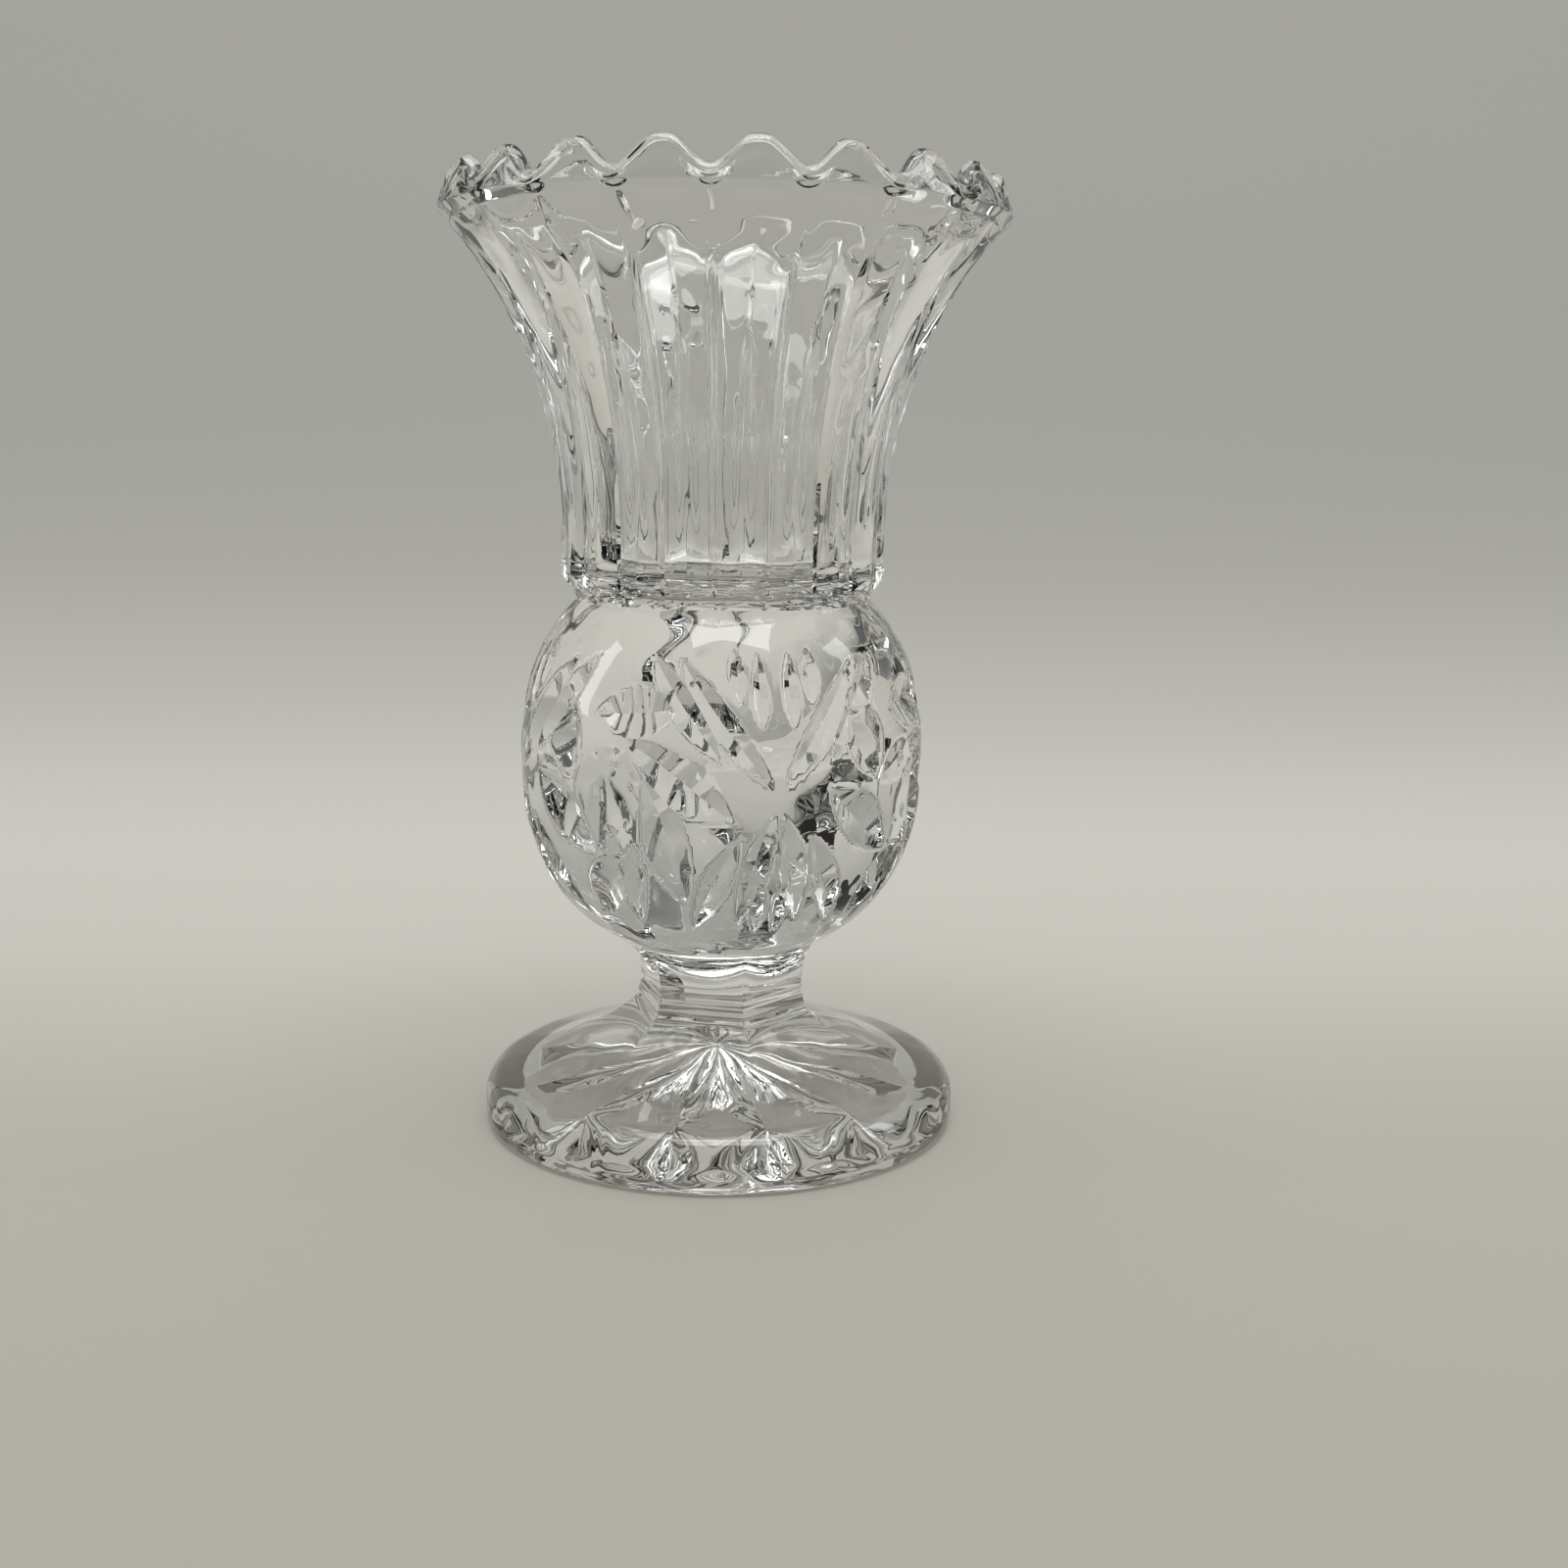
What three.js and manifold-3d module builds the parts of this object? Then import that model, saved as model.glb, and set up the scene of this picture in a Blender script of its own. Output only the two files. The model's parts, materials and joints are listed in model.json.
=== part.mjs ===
// Footed bud vase of clear pressed crystal, in millimetres, +Z up.
// The origin is on the table, under the middle of the foot.
// Two pieces of glass, fused while hot: the body (flared ribbed neck, bulb and six-sided stem)
// and the domed foot. Angles turn about +Z, from -Y towards +X.
import * as THREE from 'three';
import { mergeVertices } from 'three/addons/utils/BufferGeometryUtils.js';
import Module from 'manifold-3d';

const wasm = await Module();
wasm.setup();

// Lengths stacked from the table up
const footHeight = 18.5;
const stemWaistLift = 5;
const bulbMiddleLift = 42;
const neckLift = 25.1;
const neckChamferHeight = 3.9;
const straightNeckHeight = 3;
const flareHeight = 51.1;
const lipHeight = 6.4;

// Foot
const footRadius = 38.5;
const footSideHeight = 4.5;
const footHeel = 2.1;
const footShoulderRadius = 5;
const footShoulderSlope = THREE.MathUtils.degToRad(12);
const footDomeHandle = 12.5;
const restRingWidth = 5.4;
const petalCount = 12;
const petalMargin = 1.5;
const petalTipHeight = 0.5;
const petalMiddleHeight = 4.6;
const petalScoop = 2.2;

// Stem: half its width across the corners
const stemSides = 6;
const stemCornerAngle = THREE.MathUtils.degToRad(45);
const stemWaistRadius = 13.7;
const stemFootFlare = 1.1;
const stemTopFillet = 2.6;

// Bulb, a rounded barrel: |r/R|^n + |z/h|^n = 1
const bulbRadius = 32.2;
const bulbHalfHeight = 32.8;
const bulbExponent = 2.35;

// Neck, flare and rim
const neckRadius = 25.7;
const neckChamferWidth = 2.5;
const flareLowHandle = 21.5;
const flareTopHandleIn = 11.3;
const flareTopHandleDown = 11.2;
const creaseRadius = 44;
const lipLean = 1.3;
const lipThickness = 3.4;
const ribCount = 20;
const ribGrooveDepth = 1.4;
const ribFadeLength = 9;
const ribCreaseGap = 3;
const notchDepth = 5;
const toothFlatWidth = 3.2;
const notchBottomWidth = 4;

// Inside of the vase, left by the plunger: a bowl that ends just above the solid bulb
const neckWall = 5.2;
const rimWall = 3.9;
const cavityFloorLift = 1;
const cavityFloorRadius = 8;

// Pattern pressed in the bulb. Places are [along, up] from the middle of each motif, and a
// motif's middle lies a little below the bulb's.
const motifCount = 4;
const flowerDrop = 3;
const crossDrop = 2;
const vaneFlankSlope = THREE.MathUtils.degToRad(30);
const crossCutDepth = 1.7;
const buttonCutDepth = 0.8;
const fanCutDepth = 1;
const vanes = [
  { start: [-3.6, 12.8], tip: [10.6, 14.2], width: 7.8 },
  { start: [1.8, 9.5], tip: [18.8, -2.7], width: 8 },
  { start: [4.6, 4.8], tip: [11.3, -16], width: 7.6 },
  { start: [2.6, -5.5], tip: [1.6, -19.5], width: 4.8 },
  { start: [0.8, -8], tip: [-7.5, -19], width: 7 },
  { start: [-3.8, -8.5], tip: [-17, 2.5], width: 7.6 },
  { start: [-8, 2.5], tip: [-12.5, 17.5], width: 8 },
];
const buttonCorners = [[-3, 3.6], [2.2, 5.8], [3.4, 0], [0.9, -6], [-3.2, -3]];
const buttonCutWidth = 3;
const crossCuts = [
  { start: [20, 20.5], tip: [8.2, 5.2], width: 4.8 },
  { start: [15.4, 20.5], tip: [0.6, 1.2], width: 4.8 },
  { start: [5.4, -5.5], tip: [13.5, -21], width: 5 },
  { start: [0.6, -2], tip: [5.6, -20], width: 4.8 },
];
const fanCuts = [
  { start: [2.4, 10], tip: [2.6, 21.5], width: 3.2 },
  { start: [5.6, 13.5], tip: [6.4, 22], width: 3.2 },
  { start: [1.9, -12.5], tip: [1.9, -22], width: 3.2 },
];

// What follows from the sizes above
const bulbMiddleHeight = footHeight + bulbMiddleLift;
const neckBottomHeight = bulbMiddleHeight + neckLift;
const flareBottomHeight = neckBottomHeight + neckChamferHeight + straightNeckHeight;
const creaseHeight = flareBottomHeight + flareHeight;
const totalHeight = creaseHeight + lipHeight;
const restRingOuterRadius = footRadius - footHeel;
const restRingInnerRadius = restRingOuterRadius - restRingWidth;
const stemFootRadius = stemWaistRadius + stemFootFlare;
const neckBottomRadius = neckRadius - neckChamferWidth;
const lipOuterRadius = creaseRadius - lipLean;
const lipRound = lipThickness / 2;
const cavityFloorHeight = neckBottomHeight + cavityFloorLift;

// How finely round shapes are faceted, how far a cutting shape runs past what it cuts, and how
// far the bulb reaches up into the glass of the neck
const ringSteps = 48;
const overrun = 2;
const bulbOverlap = 0.5;
const fullTurn = 2 * Math.PI;
const ribTurn = fullTurn / ribCount;
const ribPitch = ribTurn * lipOuterRadius;

const glass = new THREE.MeshStandardMaterial({
  color: 0xe9ecea, roughness: 0.04, metalness: 0, transparent: true, opacity: 0.35,
});
const footGlass = new THREE.MeshStandardMaterial({
  color: 0xe4e8e5, roughness: 0.04, metalness: 0, transparent: true, opacity: 0.35,
});

const { lerp, smoothstep } = THREE.MathUtils;

function ringPoint(radius, angle, height) {
  return new THREE.Vector3(radius * Math.sin(angle), -radius * Math.cos(angle), height);
}

function bezier(a, control, b, steps) {
  const curve = new THREE.QuadraticBezierCurve(
    new THREE.Vector2(...a), new THREE.Vector2(...control), new THREE.Vector2(...b));
  return curve.getPoints(steps);
}

// A solid skinned over rings of equal counts, closed by a fan to the axis at each end.
function loft(rings) {
  const count = rings[0].length;
  const positions = rings.flat().flatMap((point) => point.toArray());
  const index = [];
  for (let ring = 0; ring < rings.length - 1; ring += 1) {
    for (let step = 0; step < count; step += 1) {
      const a = ring * count + step;
      const b = ring * count + (step + 1) % count;
      index.push(a, b, b + count, a, b + count, a + count);
    }
  }
  const last = (rings.length - 1) * count;
  const bottom = positions.length / 3;
  positions.push(0, 0, rings[0][0].z, 0, 0, rings[rings.length - 1][0].z);
  for (let step = 0; step < count; step += 1) {
    const next = (step + 1) % count;
    index.push(bottom, next, step, last + step, last + next, bottom + 1);
  }
  const geometry = new THREE.BufferGeometry();
  geometry.setAttribute('position', new THREE.Float32BufferAttribute(positions, 3));
  geometry.setIndex(index);
  return geometry;
}

function toSolid(geometry) {
  const bare = geometry.clone();
  bare.deleteAttribute('normal');
  bare.deleteAttribute('uv');
  const merged = mergeVertices(bare, 1e-4);
  return new wasm.Manifold(new wasm.Mesh({
    numProp: 3,
    vertProperties: new Float32Array(merged.attributes.position.array),
    triVerts: new Uint32Array(merged.index.array),
  }));
}

function toGeometry(solid) {
  const mesh = solid.getMesh();
  const geometry = new THREE.BufferGeometry();
  geometry.setAttribute('position', new THREE.BufferAttribute(mesh.vertProperties, 3));
  geometry.setIndex(new THREE.BufferAttribute(mesh.triVerts, 1));
  geometry.computeVertexNormals();
  return geometry;
}

// Radius of a regular polygon's side at an angle, from its half width across the corners.
function polygonRadius(angle, cornerRadius) {
  const side = fullTurn / stemSides;
  const turned = angle - stemCornerAngle;
  const local = turned - side * Math.floor(turned / side) - side / 2;
  return cornerRadius * Math.cos(side / 2) / Math.cos(local);
}

// Rounded barrel of the bulb: its radius at a height.
function bulbRadiusAt(height) {
  const share = Math.min(Math.abs(height - bulbMiddleHeight) / bulbHalfHeight, 1);
  return bulbRadius * (1 - share ** bulbExponent) ** (1 / bulbExponent);
}

// Height, above or below the bulb's middle, at which the bulb has a radius.
function bulbReachAt(radius) {
  const share = Math.min(radius / bulbRadius, 1);
  return bulbHalfHeight * (1 - share ** bulbExponent) ** (1 / bulbExponent);
}

// The flare from the neck up to the crease, pulled in by the wall at each end for its inside.
function flarePoints(wallAtNeck, wallAtRim, steps) {
  const neck = neckRadius - wallAtNeck;
  const rim = creaseRadius - wallAtRim;
  const curve = new THREE.CubicBezierCurve(
    new THREE.Vector2(neck, flareBottomHeight),
    new THREE.Vector2(neck, flareBottomHeight + flareLowHandle),
    new THREE.Vector2(rim - flareTopHandleIn, creaseHeight - flareTopHandleDown),
    new THREE.Vector2(rim, creaseHeight),
  );
  return curve.getPoints(steps);
}

// Side of the stem, hollowed to a waist, from the foot up to where the bulb begins.
function stemPoints(joinRadius, joinHeight) {
  const waistHeight = footHeight + stemWaistLift;
  const low = bezier([stemFootRadius, footHeight],
    [stemWaistRadius, lerp(footHeight, waistHeight, 0.5)], [stemWaistRadius, waistHeight], 2);
  const high = bezier([stemWaistRadius, waistHeight],
    [stemWaistRadius, joinHeight - stemTopFillet], [joinRadius, joinHeight], 3);
  return [...low, ...high.slice(1)];
}

// Side of the bulb, from the stem to inside the neck, in even turns of the barrel's outline.
function bulbPoints(joinRadius, topRadius) {
  const rowCount = 12;
  const power = 2 / bulbExponent;
  const lowTurn = Math.acos((joinRadius / bulbRadius) ** (1 / power));
  const highTurn = Math.acos((topRadius / bulbRadius) ** (1 / power));
  const points = [];
  for (let row = 1; row <= rowCount; row += 1) {
    const turn = lerp(-lowTurn, highTurn, row / rowCount);
    const reach = Math.sign(turn) * bulbHalfHeight * Math.abs(Math.sin(turn)) ** power;
    points.push(new THREE.Vector2(bulbRadius * Math.cos(turn) ** power, bulbMiddleHeight + reach));
  }
  return points;
}

// Stem and bulb in one: the six sides of the stem melt into the round bulb.
function stemAndBulb() {
  const joinRadius = stemWaistRadius + stemTopFillet;
  const joinHeight = bulbMiddleHeight - bulbReachAt(joinRadius);
  const topRadius = bulbRadiusAt(neckBottomHeight + bulbOverlap);
  const rows = [...stemPoints(joinRadius, joinHeight), ...bulbPoints(joinRadius, topRadius)];
  const rings = rows.map((row) => {
    const roundness = smoothstep(row.y, footHeight + stemWaistLift, joinHeight);
    const ring = [];
    for (let step = 0; step < ringSteps; step += 1) {
      const angle = fullTurn * step / ringSteps;
      ring.push(ringPoint(lerp(polygonRadius(angle, row.x), row.x, roundness), angle, row.y));
    }
    return ring;
  });
  return toSolid(loft(rings));
}

// Outside of the neck: each panel's flat slanting facet, its round back, and the flare.
function neckOutsidePoints() {
  const chamferSteps = 2;
  const chamfer = [];
  for (let step = 0; step <= chamferSteps; step += 1) {
    const share = step / chamferSteps;
    chamfer.push(new THREE.Vector2(lerp(neckBottomRadius, neckRadius, share),
      neckBottomHeight + share * neckChamferHeight));
  }
  return [...chamfer, ...flarePoints(0, 0, 8)];
}

// Fire-polished lip, rounded from its outside over to its inside.
function lipPoints() {
  const lipSteps = 4;
  const points = [];
  for (let step = 0; step <= lipSteps; step += 1) {
    const turn = Math.PI * step / lipSteps;
    points.push(new THREE.Vector2(lipOuterRadius - lipRound + lipRound * Math.cos(turn),
      totalHeight - lipRound + lipRound * Math.sin(turn)));
  }
  return points;
}

// Inside of the vase, from the mouth down to the bowl's floor.
function insidePoints() {
  const wallRadius = neckRadius - neckWall;
  const bowl = bezier([wallRadius, flareBottomHeight], [wallRadius, cavityFloorHeight],
    [cavityFloorRadius, cavityFloorHeight], 3);
  return [...flarePoints(neckWall, rimWall, 5).reverse(), ...bowl.slice(1)];
}

// How far the rim dips at a place between two teeth: straight flanks and a round bottom.
function notchDip(fromGroove) {
  const across = fromGroove * ribPitch;
  const bottomHalf = notchBottomWidth / 2;
  const slope = notchDepth / ((ribPitch - toothFlatWidth) / 2);
  const rise = across < bottomHalf
    ? slope * (across ** 2 / (2 * bottomHalf) + bottomHalf / 2)
    : slope * across;
  return notchDepth - Math.min(rise, notchDepth);
}

// Neck, flare, toothed lip and inside in one skin. Between the ribs run sharp grooves that fade
// out below the crease. The lip above the crease is pressed down where a notch is.
function neckSkin() {
  const toothEnd = toothFlatWidth / 2 / ribPitch;
  const bottomStart = 0.5 - notchBottomWidth / 2 / ribPitch;
  const columns = [-bottomStart, -toothEnd, toothEnd, bottomStart, 0.5];
  const ribEnd = creaseHeight - ribCreaseGap;

  const skinRing = (row, isOutside) => {
    const fade = 1 - smoothstep(row.y, ribEnd - ribFadeLength, ribEnd);
    const depth = ribGrooveDepth * fade * row.x / neckRadius;
    const back = Math.max(row.x, neckRadius);
    const lipShare = Math.max(row.y - creaseHeight, 0) / (lipHeight - lipRound);
    const ring = [];
    for (let rib = 0; rib < ribCount; rib += 1) {
      for (const column of columns) {
        const fromGroove = 0.5 - Math.abs(column);
        const panel = back - depth * (1 - Math.sqrt(2 * fromGroove));
        const facet = row.x / Math.cos(column * ribTurn);
        const radius = isOutside ? Math.min(panel, facet) : row.x;
        const dip = notchDip(fromGroove) * Math.min(lipShare, 1);
        ring.push(ringPoint(radius, (rib + column) * ribTurn, row.y - dip));
      }
    }
    return ring;
  };

  return toSolid(loft([
    ...neckOutsidePoints().map((row) => skinRing(row, row.y < creaseHeight)),
    ...lipPoints().map((row) => skinRing(row, false)),
    ...insidePoints().map((row) => skinRing(row, false)),
  ]));
}

// Point and outward normal of the bulb, a distance along its girth from an angle.
function bulbFrame(middleAngle, along, height) {
  const angle = middleAngle + along / bulbRadius;
  const surface = ringPoint(bulbRadiusAt(height), angle, height);
  const probe = 0.2;
  const slope = (bulbRadiusAt(height + probe) - bulbRadiusAt(height - probe)) / (2 * probe);
  const normal = ringPoint(1, angle, -slope).normalize();
  return { surface, normal };
}

// A V cut in the bulb, as a grinding wheel leaves it: deepest and widest in the middle, and
// running out to a point at each end.
function vCut(middleAngle, middleHeight, { start, tip, width }, depth) {
  const stations = 4;
  const runOut = 0.25;
  const flank = width / (2 * depth);
  const frames = [];
  for (let station = 0; station <= stations; station += 1) {
    const share = station / stations;
    frames.push(bulbFrame(middleAngle, lerp(start[0], tip[0], share),
      middleHeight + lerp(start[1], tip[1], share)));
  }
  const positions = [];
  frames.forEach(({ surface, normal }, station) => {
    const before = frames[Math.max(station - 1, 0)].surface;
    const after = frames[Math.min(station + 1, stations)].surface;
    const side = new THREE.Vector3().crossVectors(normal, after.clone().sub(before)).normalize();
    const share = station / stations;
    const keel = (depth + runOut) * 4 * share * (1 - share) - runOut;
    const half = flank * (keel + overrun);
    const bottom = surface.clone().addScaledVector(normal, -keel);
    const top = surface.clone().addScaledVector(normal, overrun);
    positions.push(...bottom.toArray());
    positions.push(...top.clone().addScaledVector(side, half).toArray());
    positions.push(...top.clone().addScaledVector(side, -half).toArray());
  });
  const index = [0, 2, 1];
  for (let station = 0; station < stations; station += 1) {
    for (let edge = 0; edge < 3; edge += 1) {
      const a = 3 * station + edge;
      const b = 3 * station + (edge + 1) % 3;
      index.push(a, b, a + 3, b, b + 3, a + 3);
    }
  }
  const end = 3 * stations;
  index.push(end, end + 1, end + 2);
  const geometry = new THREE.BufferGeometry();
  geometry.setAttribute('position', new THREE.Float32BufferAttribute(positions, 3));
  geometry.setIndex(index);
  return toSolid(geometry);
}

// Every vane has flanks of the same slope, so a wider one is also deeper.
function vaneDepth({ width }) {
  return width / 2 * Math.tan(vaneFlankSlope);
}

function mirrored(cut) {
  return { start: [-cut.start[0], cut.start[1]], tip: [-cut.tip[0], cut.tip[1]], width: cut.width };
}

// Every cut of the bulb: four flowers, and four crosses half way between them.
function patternCuts() {
  const flowerHeight = bulbMiddleHeight - flowerDrop;
  const crossHeight = bulbMiddleHeight - crossDrop;
  const cuts = [];
  for (let motif = 0; motif < motifCount; motif += 1) {
    const flowerAngle = fullTurn * motif / motifCount;
    const crossAngle = flowerAngle + fullTurn / motifCount / 2;
    for (const vane of vanes) {
      cuts.push(vCut(flowerAngle, flowerHeight, vane, vaneDepth(vane)));
    }
    buttonCorners.forEach((corner, place) => {
      const next = buttonCorners[(place + 1) % buttonCorners.length];
      const side = { start: corner, tip: next, width: buttonCutWidth };
      cuts.push(vCut(flowerAngle, flowerHeight, side, buttonCutDepth));
    });
    for (const cut of crossCuts) {
      cuts.push(vCut(crossAngle, crossHeight, cut, crossCutDepth));
      cuts.push(vCut(crossAngle, crossHeight, mirrored(cut), crossCutDepth));
    }
    for (const cut of fanCuts) {
      cuts.push(vCut(crossAngle, crossHeight, cut, fanCutDepth));
      cuts.push(vCut(crossAngle, crossHeight, mirrored(cut), fanCutDepth));
    }
  }
  return cuts;
}

function buildBody() {
  let solid = stemAndBulb();
  for (const cut of patternCuts()) {
    solid = solid.subtract(cut);
  }
  return toGeometry(solid.add(neckSkin()));
}

// Petals scooped in the underside of the foot: rings from the middle out to the petals' ends.
function petalRows() {
  const endRadius = restRingInnerRadius - petalMargin;
  const shares = [0.12, 0.35, 0.6, 0.82, 0.95, 1];
  return shares.map((share) => ({
    radius: share * endRadius,
    height: lerp(petalMiddleHeight, petalTipHeight, share),
    scoop: petalScoop * Math.sqrt(share) * (1 - share ** 6),
  }));
}

// Outside of the foot: resting ring, rounded heel, short side, round shoulder, and a dome that
// sweeps up to the six sides of the stem.
function footOutsideRows() {
  const heel = bezier([restRingOuterRadius, 0], [footRadius, 0], [footRadius, footHeel], 2);
  const side = heel.map((point) => ({ radius: point.x, height: point.y }));
  const shoulderTurn = Math.PI / 2 - footShoulderSlope;
  const shoulderSteps = 3;
  for (let step = 0; step <= shoulderSteps; step += 1) {
    const turn = shoulderTurn * step / shoulderSteps;
    side.push({
      radius: footRadius - footShoulderRadius * (1 - Math.cos(turn)),
      height: footSideHeight + footShoulderRadius * Math.sin(turn),
    });
  }
  const { radius, height } = side[side.length - 1];
  const dome = bezier([radius, height],
    [radius - footDomeHandle, height + footDomeHandle * Math.tan(footShoulderSlope)],
    [stemFootRadius, footHeight], 4).slice(1);
  const sixSided = [0, 0, 0.5, 1];
  const rise = dome.map((point, place) => (
    { radius: point.x, height: point.y, sixSided: sixSided[place] }));
  return [{ radius: restRingInnerRadius, height: 0 }, ...side, ...rise];
}

// Domed foot. The sharp ridges between its petals line up with the corners of the stem.
function buildFoot() {
  const rings = [...petalRows(), ...footOutsideRows()].map((row) => {
    const ring = [];
    for (let step = 0; step < ringSteps; step += 1) {
      const angle = fullTurn * step / ringSteps;
      const petal = Math.abs(Math.sin((angle - stemCornerAngle) * petalCount / 2));
      const radius = lerp(row.radius, polygonRadius(angle, row.radius), row.sixSided ?? 0);
      ring.push(ringPoint(radius, angle, row.height + petal * (row.scoop ?? 0)));
    }
    return ring;
  });
  return loft(rings);
}

function named(name, geometry, material) {
  const mesh = new THREE.Mesh(geometry, material);
  mesh.name = name;
  return mesh;
}

const vase = new THREE.Group();
vase.add(named('foot', buildFoot(), footGlass));
vase.add(named('body', buildBody(), glass));

export default vase;
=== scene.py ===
# %% [markdown]
# A footed bud vase of clear pressed crystal: a domed foot, a six-sided stem, a round bulb with
# pressed pinwheels and crosses, and a ribbed neck that flares to a toothed rim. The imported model
# gives the real sizes and places. Everything below is built inside it, in metres, +Z up.

import json
import math

import bmesh
import bpy
import numpy as np
from mathutils import Matrix, Vector

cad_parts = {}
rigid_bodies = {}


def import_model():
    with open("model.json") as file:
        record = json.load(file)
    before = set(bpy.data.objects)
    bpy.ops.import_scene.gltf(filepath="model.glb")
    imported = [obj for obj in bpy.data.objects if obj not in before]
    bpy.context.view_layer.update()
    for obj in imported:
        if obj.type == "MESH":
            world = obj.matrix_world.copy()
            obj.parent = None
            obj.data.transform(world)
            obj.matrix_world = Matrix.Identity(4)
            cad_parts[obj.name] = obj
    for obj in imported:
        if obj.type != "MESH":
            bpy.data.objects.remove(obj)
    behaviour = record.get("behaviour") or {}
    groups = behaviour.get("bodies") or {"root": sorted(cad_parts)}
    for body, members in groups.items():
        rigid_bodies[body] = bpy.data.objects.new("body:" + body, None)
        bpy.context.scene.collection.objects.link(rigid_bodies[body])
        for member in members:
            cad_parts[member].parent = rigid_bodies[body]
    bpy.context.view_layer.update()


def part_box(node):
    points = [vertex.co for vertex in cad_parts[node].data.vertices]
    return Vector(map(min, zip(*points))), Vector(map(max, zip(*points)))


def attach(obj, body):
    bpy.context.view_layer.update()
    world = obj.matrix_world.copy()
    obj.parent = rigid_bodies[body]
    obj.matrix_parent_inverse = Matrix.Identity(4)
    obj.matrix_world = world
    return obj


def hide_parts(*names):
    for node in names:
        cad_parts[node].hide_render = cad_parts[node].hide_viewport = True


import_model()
foot_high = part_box("foot")[1]
body_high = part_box("body")[1]

# %% [markdown]
# The camera stands where the photographer stood: about 30 cm from the vase, a little above its
# middle, looking 10 degrees down. One turn about the vase's axis brings a cross of the pattern
# near the middle of the picture and a pinwheel to its left. It could be aimed with a Track To
# constraint, but written turns keep the slight yaw and roll of a hand-held picture.

# %% Camera
MM = 0.001
PHOTO_TURN = math.radians(30)
CAMERA_DISTANCE = 298.3 * MM
CAMERA_HEIGHT = 108.1 * MM
CAMERA_PITCH = 0.17478
CAMERA_ROLL = 0.01368
CAMERA_YAW = 0.03377
LENS = 42.78


def build_camera():
    camera = bpy.data.objects.new("camera", bpy.data.cameras.new("camera"))
    bpy.context.scene.collection.objects.link(camera)
    camera.data.lens = LENS
    camera.data.clip_start = 0.01
    turn = Matrix.Rotation(PHOTO_TURN, 4, "Z")
    place = turn @ Matrix.Translation((0, -CAMERA_DISTANCE, CAMERA_HEIGHT))
    aim = Matrix.Rotation(-CAMERA_YAW, 4, "Z") @ Matrix.Rotation(math.pi / 2 - CAMERA_PITCH, 4, "X")
    camera.matrix_world = place @ aim @ Matrix.Rotation(CAMERA_ROLL, 4, "Z")
    bpy.context.scene.camera = camera
    return camera


camera = build_camera()
print("camera at", [round(c, 3) for c in camera.matrix_world.translation])

# %% [markdown]
# Glass has hardly any colour of its own. What is seen is the room, bent and mirrored, so the
# surroundings come first: a pale paper sweep that lies flat under the vase and curves up behind
# it. A flat plane with a wall would show a hard line through the glass.

# %% Sweep: a pale floor that curves up into a backdrop
SWEEP_FRONT = -0.55
SWEEP_BEND_START = 0.26
SWEEP_BEND_RADIUS = 0.30
SWEEP_TOP = 1.0
SWEEP_HALF_WIDTH = 0.65
SWEEP_STEPS = 24


def build_sweep():
    mesh = bmesh.new()
    front = mesh.verts.new((-SWEEP_HALF_WIDTH, SWEEP_FRONT, 0))
    bend = mesh.verts.new((-SWEEP_HALF_WIDTH, SWEEP_BEND_START, 0))
    mesh.edges.new((front, bend))
    centre = (0, SWEEP_BEND_START, SWEEP_BEND_RADIUS)
    curve = bmesh.ops.spin(mesh, geom=[bend], cent=centre, axis=(1, 0, 0),
                           angle=math.pi / 2, steps=SWEEP_STEPS)
    last = [item for item in curve["geom_last"] if isinstance(item, bmesh.types.BMVert)][0]
    top = mesh.verts.new((last.co.x, last.co.y, SWEEP_TOP))
    mesh.edges.new((last, top))
    side = bmesh.ops.extrude_edge_only(mesh, edges=mesh.edges[:])
    moved = [item for item in side["geom"] if isinstance(item, bmesh.types.BMVert)]
    bmesh.ops.translate(mesh, verts=moved, vec=(2 * SWEEP_HALF_WIDTH, 0, 0))
    bmesh.ops.rotate(mesh, verts=mesh.verts[:], cent=(0, 0, 0),
                     matrix=Matrix.Rotation(PHOTO_TURN, 3, "Z"))
    bmesh.ops.recalc_face_normals(mesh, faces=mesh.faces[:])
    data = bpy.data.meshes.new("sweep")
    mesh.to_mesh(data)
    mesh.free()
    data.shade_smooth()
    sweep = bpy.data.objects.new("sweep", data)
    bpy.context.scene.collection.objects.link(sweep)
    return sweep


sweep = build_sweep()
print("sweep with", len(sweep.data.polygons), "faces")

# %% [markdown]
# The paper is pale, and its tone carries painted light and shade: it is brightest where it starts
# to curve, and greyer above that. Its tone follows the distance along the sweep. Part of the tone
# is plain light, so that it stays even, and the rest is lit by the lamps and keeps the vase's soft
# shadow. Right under the vase the plain part is smaller, so the foot stands in deeper shade.

# %% Tones of the paper, with painted light and shade
# Painted light and shade: the sweep's tone rises and falls with distance along it, as the lamps'
# light would.
PAPER_TONES_PAINTED_LIGHT = [
    (-0.13, (0.408, 0.392, 0.347)),
    (-0.03, (0.445, 0.425, 0.378)),
    (0.02, (0.468, 0.448, 0.402)),
    (0.10, (0.552, 0.540, 0.492)),
    (0.24, (0.600, 0.588, 0.538)),
    (0.36, (0.520, 0.515, 0.474)),
    (0.52, (0.376, 0.373, 0.345)),
    (0.72, (0.378, 0.375, 0.350)),
    (0.90, (0.450, 0.447, 0.414)),
]
PAPER_RANGE = (-0.2, 0.9)
PAPER_PLAIN_SHARE = 0.55
FOOT_SHADE = (0.030, 0.050)
FOOT_SHADE_PLAIN_SHARE = 0.15
print("paper in", len(PAPER_TONES_PAINTED_LIGHT), "tones")

# %% Paper of the sweep


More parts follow.
